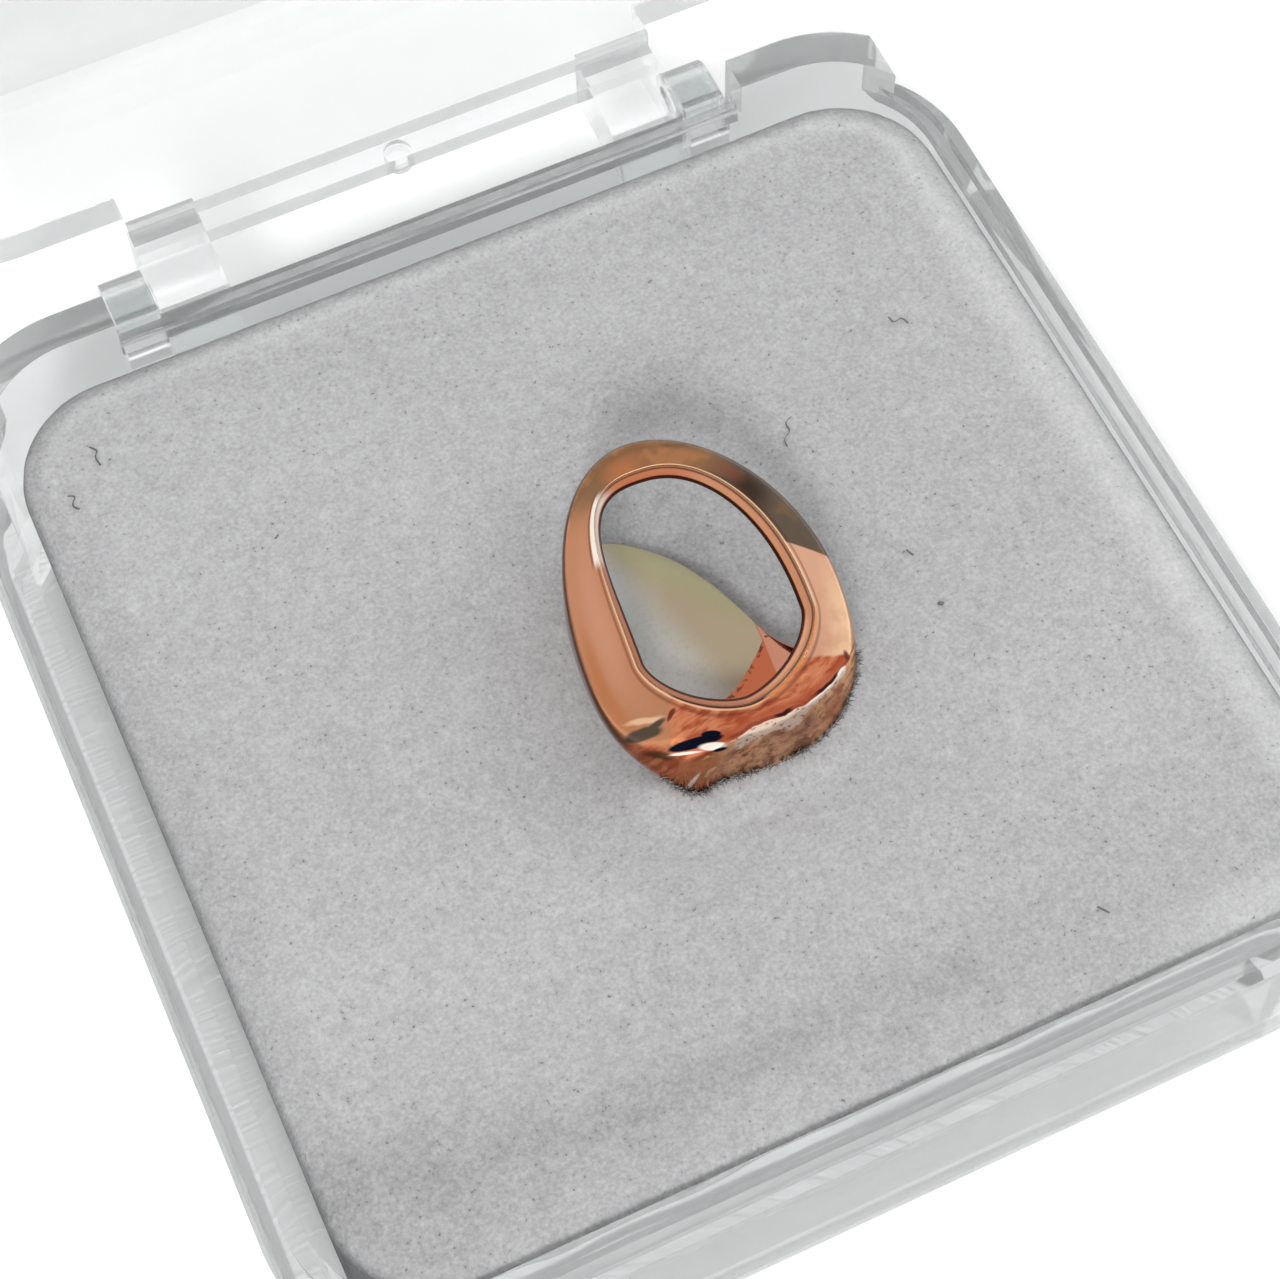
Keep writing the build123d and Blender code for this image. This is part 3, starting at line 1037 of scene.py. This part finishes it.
    def relief(self, u: float, v: float, t: float, down: float) -> float:
        """Lumps of the casting below the ridge, and the dimple above it.

        Args:
            u: Across the cap.
            v: Along the cap.
            t: Place across the band.
            down: How far the angle points to the biting end.

        Returns:
            The height to add.
        """
        below = self.ridge.at(u) - v
        lumps = 0.0
        for wide, deep, part, high in self.lumps:
            lumps += noise.noise(Vector((u * wide, v * deep, part))) * high
        lumps *= smooth(0.0, 0.35, below) * smooth(0.15, 0.5, down)
        lip = self.lip_height * hump(below, -0.02, 0.12) * smooth(0.2, 0.6, down) * smooth(-1.2, 0.2, u)
        dimple = self.dimple_depth * hump(u, -1.74, 0.8) * hump(v, 1.4, 0.2)
        bead = self.bead_height * hump(u, -1.28, 0.35) * hump(v, 1.1, 0.1)
        return lumps + lip + (bead - dimple) * (1 - smooth(0.9, 1.0, t))

    def build(self) -> Piece:
        """Makes the cap's mesh.

        Returns:
            The piece.
        """
        rings = [self.section(2 * math.pi * k / self.steps_round) for k in range(self.steps_round)]
        rounds, count = len(rings), len(rings[0])
        place = self.bed.matrix()
        points = [tuple(place @ Vector(point[:3])) for ring in rings for point in ring]
        laps = [point[3] for point in rings[0]] + [self.closing_lap]
        faces, corner_laps = [], []
        for i in range(rounds):
            here, there = i * count, (i + 1) % rounds * count
            for j in range(count):
                k = (j + 1) % count
                faces.append((here + j, there + j, there + k, here + k))
                corner_laps.extend((laps[j], laps[j], laps[j + 1], laps[j + 1]))
        piece = as_object("tooth_cap_polished", points, faces)
        piece.data.attributes.new("lap", "FLOAT", "CORNER").data.foreach_set("value", corner_laps)
        return piece

    def dress(self) -> None:
        """Builds the cap, gives it its finish and lets it ride in the box."""
        piece = self.build()
        piece.data.materials.append(RoseGold(self.bed, self.ridge).material())
        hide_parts("tooth_cap")
        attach(piece, "box")
        log.info("tooth cap: %d faces", len(piece.data.polygons))


@dataclass(frozen=True)
class Shade:
    """A painted shadow on the pad: its middle, its reach each way and how dark it is."""

    x: float
    y: float
    wide: float
    deep: float
    dark: float


@dataclass(frozen=True)
class Fuzz:
    """Flock fibres that cling to the cap's lower edge, with the foam that wells up there."""

    count: int = 1500
    seed: int = 7
    start: int = 228
    end: int = 338
    bunching: float = 1.5
    inward: float = 0.25
    above: float = 0.15
    below: float = 0.55
    fan: float = 1.5
    reach: tuple[float, float] = (0.1, 0.3)
    rise: tuple[float, float] = (-0.05, 0.4)
    flock_tone_and_shade: tuple[float, float] = (-0.4, 0.4)
    radius: float = 0.03
    sides: int = 3
    berm_height: float = 0.55
    berm_width: float = 0.8
    berm_in: float = 0.35

    def berm_line(self, cap: ToothCap) -> list[Vector]:
        """Where the foam wells up against the cap's biting end.

        Args:
            cap: The cap that presses it.

        Returns:
            Points in the plan.
        """
        angles = range(self.start, self.end, 2)
        spots = (Vector(cap.inward(math.radians(angle), self.berm_in)) for angle in angles)
        return [(cap.bed.matrix() @ spot).to_2d() for spot in spots]

    def build(self, cap: ToothCap) -> Piece:
        """Makes the fibres.

        Args:
            cap: The cap that they cling to.

        Returns:
            The piece.
        """
        dice = random.Random(self.seed)
        place = cap.bed.matrix()
        points, faces, tones_and_shades = [], [], []
        for _ in range(self.count):
            angle = math.radians(dice.uniform(self.start, self.end))
            u, v, edge = cap.lower_rim(angle)
            mu, mv = cap.toward_middle(u, v)
            low = dice.uniform(0, 1) ** self.bunching
            inward = self.inward * low
            root = place @ Vector((u + inward * mu, v + inward * mv, edge + self.above - self.below * low))
            turn = math.atan2(-mv, -mu) + dice.uniform(-self.fan, self.fan)
            reach = dice.uniform(*self.reach)
            first = len(points)
            for k in range(self.sides):
                side = turn + 2 * math.pi * k / self.sides
                x, y = self.radius * math.cos(side), self.radius * math.sin(side)
                points.append((root.x + x, root.y + y, root.z))
                faces.append((first + k, first + (k + 1) % self.sides, first + self.sides))
            points.append((root.x + reach * math.cos(turn), root.y + reach * math.sin(turn),
                           root.z + dice.uniform(*self.rise)))
            tones_and_shades.extend([dice.uniform(*self.flock_tone_and_shade)] * (self.sides + 1))
        piece = as_object("pad_fibres", points, faces)
        piece.data.attributes.new("flock_tone_and_shade", "FLOAT", "POINT").data.foreach_set("value", tones_and_shades)
        return piece


@dataclass(frozen=True)
class Dust:
    """Dark hairs and dots that lie on the pad, each as a line in the plan."""

    radius: float = 0.025
    dot_radius: float = 0.06
    dot_length: float = 0.17
    flatness: float = 0.4
    lift: float = 0.03
    sides: int = 5
    smoothings: int = 3
    finish: Mottled = Mottled("lint", srgb(72, 70, 68), srgb(120, 118, 114), 4.0, {"Roughness": 0.9})
    lines: tuple[tuple[tuple[float, float], ...], ...] = (
        ((7.57, 5.11), (7.26, 5.0), (7.33, 4.62), (6.96, 4.46), (6.96, 4.16)),
        ((12.25, 7.25), (12.32, 6.95), (12.64, 7.07), (12.74, 6.75)),
        ((8.68, -0.96), (8.8, -1.22)),
        ((-13.74, 13.92), (-13.52, 13.65), (-13.72, 13.49), (-13.64, 13.11)),
        ((-15.0, 12.45), (-14.75, 12.34), (-15.02, 12.05), (-14.82, 11.83)),
        ((8.21, -14.28), (8.44, -14.6)),
        ((8.72, -3.1), (8.84, -3.2)),
        ((-9.42, 8.1), (-9.36, 8.15)),
    )

    def smoothed(self, line: tuple[tuple[float, float], ...]) -> list[tuple[float, float]]:
        """Rounds a hair's line by cutting its corners.

        Args:
            line: Its turning points.

        Returns:
            A finer line.
        """
        line = list(line)
        for _ in range(self.smoothings):
            finer = [line[0]]
            for (ax, ay), (bx, by) in zip(line, line[1:]):
                finer += [(ax * (1 - t) + bx * t, ay * (1 - t) + by * t) for t in (0.25, 0.75)]
            line = finer + [line[-1]]
        return line

    def build(self, top: float) -> Piece:
        """Makes the hairs and the dots.

        Args:
            top: Height of the pad that they lie on.

        Returns:
            The piece.
        """
        points, faces = [], []
        for ends in self.lines:
            line = self.smoothed(ends)
            thick = self.dot_radius if math.dist(ends[0], ends[-1]) < self.dot_length else self.radius
            first = len(points)
            for i, (x, y) in enumerate(line):
                for k in range(self.sides):
                    turn = 2 * math.pi * k / self.sides
                    across, up = thick * math.cos(turn), thick * math.sin(turn)
                    points.append((x + across, y + self.flatness * across, top + self.lift + up))
                    if i:
                        a, b = (first + i * self.sides + m - self.sides for m in (k, (k + 1) % self.sides))
                        faces.append((a, b, b + self.sides, a + self.sides))
        return as_object("pad_lint", points, faces)


@dataclass
class FoamPad:
    """The flocked pad with rounded edges and the dent under the cap."""

    left: float = -16.35
    right: float = 16.85
    front: float = -16.85
    rear: float = 16.5
    floor: float = 1.22
    top: float = 7.7
    corner: float = 3.6
    edge: float = 0.8
    pressed_share: float = 0.7
    crest_height: float = 0.1
    crest_width: float = 0.7
    unevenness: float = 0.05
    flock_depth: float = 0.03
    dent_depth: float = 0.35
    dent_width: float = 15.0
    dent_x: float = 0.9
    dent_y: float = -2.6
    nap_rest: float = 0.53
    # A painted highlight on the pad's rounded right edge.
    right_edge_highlight: float = 0.24
    mottles: tuple[tuple[float, float], ...] = ((0.2, 0.05), (0.7, 0.04), (1.9, 0.07), (3.3, 0.1))
    # A painted highlight line along the rounding of the rear edge.
    highlight_line_in: float = 1.05
    highlight_line_width: float = 0.22
    highlight_line_pale: float = 0.15
    # Painted shade where the pad's edge falls away: at the rear, all round its rim and on the left.
    rear_edge_shade: float = 0.08
    rim_shade: float = 0.3
    left_edge_shade: float = 0.1
    # Painted shade in a crease along the pad's front.
    crease_y: float = -14.2
    crease_end: float = 8.0
    crease_shade: float = 0.14
    rear_pale: float = 0.05
    front_dark: float = 0.06
    # Painted shadow under the cap, with a fainter painted halo of shade round it.
    under_cap_shadow_x: float = 1.9
    under_cap_shadow_y: float = 1.6
    under_cap_shadow_reach: float = 5.5
    under_cap_shadow_squash: float = 0.8
    under_cap_shadow_dark: float = 0.17
    under_cap_halo_shade: float = 0.04
    # Painted shadows that the cap casts on the pad.
    shades: tuple[Shade, ...] = (
        Shade(3.6, 8.3, 2.6, 1.5, 0.15),
        Shade(-1.7, 4.2, 1.5, 2.6, 0.1),
        Shade(2.2, 1.9, 0.9, 0.8, 0.1),
        Shade(2.8, 0.7, 0.6, 0.9, 0.1),
    )
    steps: int = 220
    skirt: int = 8
    bunching: float = 0.35
    fuzz: Fuzz = Fuzz()
    dust: Dust = Dust()

    def spread(self, share: float) -> float:
        """Bunches a grid line, given from -1 to 1, near the edges."""
        return math.sin(share * math.pi / 2) * self.bunching + share * (1 - self.bunching)

    def plan_point(self, s: float, t: float) -> tuple[float, float, float]:
        """A grid point in the pad's rounded plan.

        Args:
            s: Across, -1 to 1.
            t: Along, -1 to 1.

        Returns:
            x, y and the distance in from the edge.
        """
        hx, hy = (self.right - self.left) / 2, (self.rear - self.front) / 2
        x, y = s * hx, t * hy
        cx, cy = hx - self.corner, hy - self.corner
        far = min(hx - abs(x), hy - abs(y))
        if abs(x) > cx and abs(y) > cy:
            a, b = (abs(x) - cx) / self.corner, (abs(y) - cy) / self.corner
            a, b = a * math.sqrt(1 - b * b / 2), b * math.sqrt(1 - a * a / 2)
            x = math.copysign(cx + a * self.corner, x)
            y = math.copysign(cy + b * self.corner, y)
            far = self.corner * (1 - math.hypot(a, b))
        return x + (self.left + self.right) / 2, y + (self.front + self.rear) / 2, max(far, 0.0)

    def height(self, x: float, y: float, far: float, line: list[Vector]) -> float:
        """Height of the pad's upper side above the table.

        Args:
            x: Across.
            y: Along.
            far: Distance in from the edge.
            line: Where the foam wells up against the cap.

        Returns:
            The height.
        """
        z = self.top
        if far < self.edge:
            pressed = smooth(-8.0, 8.0, x - y)
            fall = self.edge - math.sqrt(max(self.edge ** 2 - (self.edge - far) ** 2, 0))
            z -= fall * (1 - self.pressed_share * pressed)
        away = math.hypot(x - self.dent_x, y - self.dent_y)
        if away < self.dent_width / 2:
            radius = (self.dent_width ** 2 / 4 + self.dent_depth ** 2) / (2 * self.dent_depth)
            z -= math.sqrt(radius ** 2 - away ** 2) - (radius - self.dent_depth)
            near = min((Vector((x, y)) - point).length for point in line)
            z += self.fuzz.berm_height * hump(near, 0.0, self.fuzz.berm_width)
        standing = 0.3 + 0.7 * smooth(-2.0, 11.0, x * 0.75 + y * 0.65)
        z += self.crest_height * standing * hump(far, self.edge, self.crest_width)
        z += smooth(0.1, 1.5, far) * self.unevenness * noise.noise(Vector((x * 0.35, y * 0.35, 1.0)))
        return z + self.flock_depth * (noise.noise(Vector((x * 3.1, y * 3.1, 5.0))) - 1)

    def flock_tone_and_shade(self, x: float, y: float, far: float) -> float:
        """How pale the flock looks at a place, with its mottling and its painted highlights and shade.

        Args:
            x: Across.
            y: Along.
            far: Distance in from the edge.

        Returns:
            From 0, dark, to 1, pale.
        """
        tone = self.nap_rest
        for scale, weight in self.mottles:
            tone += weight * noise.noise(Vector((x * scale, y * scale, scale * 9)))
        behind = smooth(8.0, 15.0, y)
        right = smooth(7.0, 14.0, x) * (1 - 0.6 * behind)
        # Painted highlights on the rounded right and rear edges.
        tone += self.right_edge_highlight * right * smooth(2.0, 0.9, far)
        tone += self.highlight_line_pale * behind * hump(far, self.highlight_line_in, self.highlight_line_width)
        # Painted shade on the falling edges.
        tone -= self.rear_edge_shade * behind * smooth(0.9, 0.6, far)
        tone -= (self.rim_shade - 0.2 * right) * smooth(0.3, 0.0, far)
        tone -= self.left_edge_shade * smooth(-11.0, -15.5, x) * smooth(2.2, 0.6, far)
        # Painted shade along the front crease.
        waver = noise.noise(Vector((x * 0.5, y * 0.9, 31.0)))
        corner = smooth(-8.0, -13.0, x)
        line = self.crease_y + 1.1 * corner - 0.5 * waver
        crease = hump(y, line, 1.0 + 0.7 * corner) * smooth(self.crease_end, 3.0, x)
        tone -= crease * (self.crease_shade + 0.12 * waver)
        tone += self.rear_pale * smooth(2.0, 12.0, y) - self.front_dark * smooth(-8.0, -14.0, y)
        # Painted shadows of the cap.
        for shade in self.shades:
            tone -= shade.dark * hump(x, shade.x, shade.wide) * hump(y, shade.y, shade.deep)
        # Painted shadow under the cap and its halo.
        under_cap_share = math.hypot((x - self.under_cap_shadow_x) / self.under_cap_shadow_squash, y - self.under_cap_shadow_y) / self.under_cap_shadow_reach
        return tone - self.under_cap_shadow_dark * smooth(1.0, 0.55, under_cap_share) - self.under_cap_halo_shade * smooth(1.8, 0.9, under_cap_share)

    def build(self, cap: ToothCap) -> Piece:
        """Makes the pad's mesh.

        Args:
            cap: The cap that lies on the pad.

        Returns:
            The piece.
        """
        n, line = self.steps, self.fuzz.berm_line(cap)
        grid = [self.spread(2 * i / n - 1) for i in range(n + 1)]
        points, faces, tones_and_shades = [], [], []
        for s in grid:
            for t in grid:
                x, y, far = self.plan_point(s, t)
                points.append((x, y, self.height(x, y, far, line)))
                tones_and_shades.append(self.flock_tone_and_shade(x, y, far))
        for i in range(n):
            for j in range(n):
                a = i * (n + 1) + j
                faces.append((a, a + n + 1, a + n + 2, a + 1))
        loop = [*range(n), *range(n, n * (n + 1) + n, n + 1)]
        loop += [*range(n * (n + 1) + n, n * (n + 1), -1), *range(n * (n + 1), 0, -n - 1)]
        last = loop
        for k in range(1, self.skirt + 1):
            row = []
            for index in loop:
                x, y, z = points[index]
                row.append(len(points))
                points.append((x, y, z + (self.floor - z) * k / self.skirt))
                tones_and_shades.append(tones_and_shades[index])
            for m in range(len(loop)):
                q = (m + 1) % len(loop)
                faces.append((last[m], last[q], row[q], row[m]))
            last = row
        faces.append(tuple(reversed(last)))
        piece = as_object("foam_pad_flocked", points, faces)
        piece.data.attributes.new("flock_tone_and_shade", "FLOAT", "POINT").data.foreach_set("value", tones_and_shades)
        return piece

    def dress(self, cap: ToothCap) -> None:
        """Builds the pad, its fibres and its dust and lets them ride in the box.

        Args:
            cap: The cap that lies on the pad.
        """
        pad, fuzz, dust = self.build(cap), self.fuzz.build(cap), self.dust.build(self.top)
        flock = FlockedFoam().material()
        pad.data.materials.append(flock)
        fuzz.data.materials.append(flock)
        dust.data.materials.append(self.dust.finish.material())
        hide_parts("foam_pad")
        for piece in (pad, fuzz, dust):
            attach(piece, "box")
        fibres = self.fuzz.count + len(self.dust.lines)
        log.info("foam pad: %d faces, %d fibres", len(pad.data.polygons), fibres)


@dataclass
class HingedBox:
    """The clear tray and lid."""

    plastics: dict[str, ClearPlastic] = field(default_factory=lambda: {
        "box_base": ClearPlastic("clear_plastic_tray", srgb(226, 229, 229)),
        "box_lid": ClearPlastic("clear_plastic_lid", srgb(245, 247, 247)),
    })

    def dress(self) -> None:
        """Gives the tray and the lid their clear plastic."""
        for name, plastic in self.plastics.items():
            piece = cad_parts[name]
            piece.data.materials.clear()
            piece.data.materials.append(plastic.material())
            log.info("%s: %s", name, plastic.name)


@dataclass
class Studio:
    """Floor, light and camera."""

    spot: Point = (-16.1, -37.3, 84.7)
    azimuth: float = -23.0
    elevation: float = 62.4
    roll: float = -2.0
    lens: float = 77.57
    film: float = 36.0
    near: float = 1.0
    far: float = 10000.0
    floor_half: float = 1500.0
    lamp: Point = (-170.0, -290.0, 380.0)
    lamp_aim: Point = (0.0, 0.0, 8.0)
    lamp_width: float = 110.0
    lamp_watts: float = 1.5
    table: Mottled = Mottled("pale_floor", srgb(250, 250, 250), srgb(247, 247, 247), 0.05,
                             {"Roughness": 0.7, "Specular_IOR_Level": 0.0})

    def floor(self) -> None:
        """Lays the floor."""
        h = self.floor_half
        piece = as_object("floor", [(-h, -h, 0), (h, -h, 0), (h, h, 0), (-h, h, 0)], [(0, 1, 2, 3)])
        piece.data.materials.append(self.table.material())

    def light(self) -> None:
        """Hangs a soft lamp that faces the box and shows in no reflection."""
        data = bpy.data.lights.new("key", "AREA")
        data.shape = "DISK"
        data.size = self.lamp_width * MM
        data.energy = self.lamp_watts
        lamp = bpy.data.objects.new("key", data)
        bpy.context.scene.collection.objects.link(lamp)
        lamp.location = Vector(self.lamp) * MM
        lamp.visible_glossy = False
        lamp.rotation_mode = "QUATERNION"
        lamp.rotation_quaternion = (Vector(self.lamp_aim) * MM - lamp.location).to_track_quat("-Z", "Y")

    def world(self) -> None:
        """Fills the room with soft light."""
        world = bpy.data.worlds.new("studio")
        bpy.context.scene.world = world
        world.use_nodes = True
        back = world.node_tree.nodes["Background"]
        back.inputs["Color"].default_value = (1, 1, 1, 1)
        back.inputs["Strength"].default_value = ROOM

    def camera(self) -> None:
        """Sets the camera at the photograph's angle."""
        az, el, roll = (math.radians(a) for a in (self.azimuth, self.elevation, self.roll))
        back = Vector((math.sin(az) * math.cos(el), -math.cos(az) * math.cos(el), math.sin(el)))
        right = Vector((math.cos(az), math.sin(az), 0))
        up = back.cross(right)
        c, s = math.cos(roll), math.sin(roll)
        right, up = right * c + up * s, up * c - right * s
        data = bpy.data.cameras.new("camera")
        data.lens = self.lens
        data.sensor_width = self.film
        data.clip_start = self.near * MM
        data.clip_end = self.far * MM
        camera = bpy.data.objects.new("camera", data)
        bpy.context.scene.collection.objects.link(camera)
        turn = Matrix((right, up, back)).transposed().to_4x4()
        camera.matrix_world = Matrix.Translation(Vector(self.spot) * MM) @ turn
        bpy.context.scene.camera = camera

    def dress(self) -> None:
        """Sets up the whole studio."""
        self.floor()
        self.world()
        self.light()
        self.camera()
        bpy.context.scene.view_settings.view_transform = "Standard"
        log.info("studio: floor, world, a lamp and the camera")


def main() -> None:
    """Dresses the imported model."""
    logging.basicConfig(level=logging.INFO)
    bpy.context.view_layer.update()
    HingedBox().dress()
    cap = ToothCap()
    cap.dress()
    FoamPad().dress(cap)
    Studio().dress()


if __name__ == "__main__":
    main()
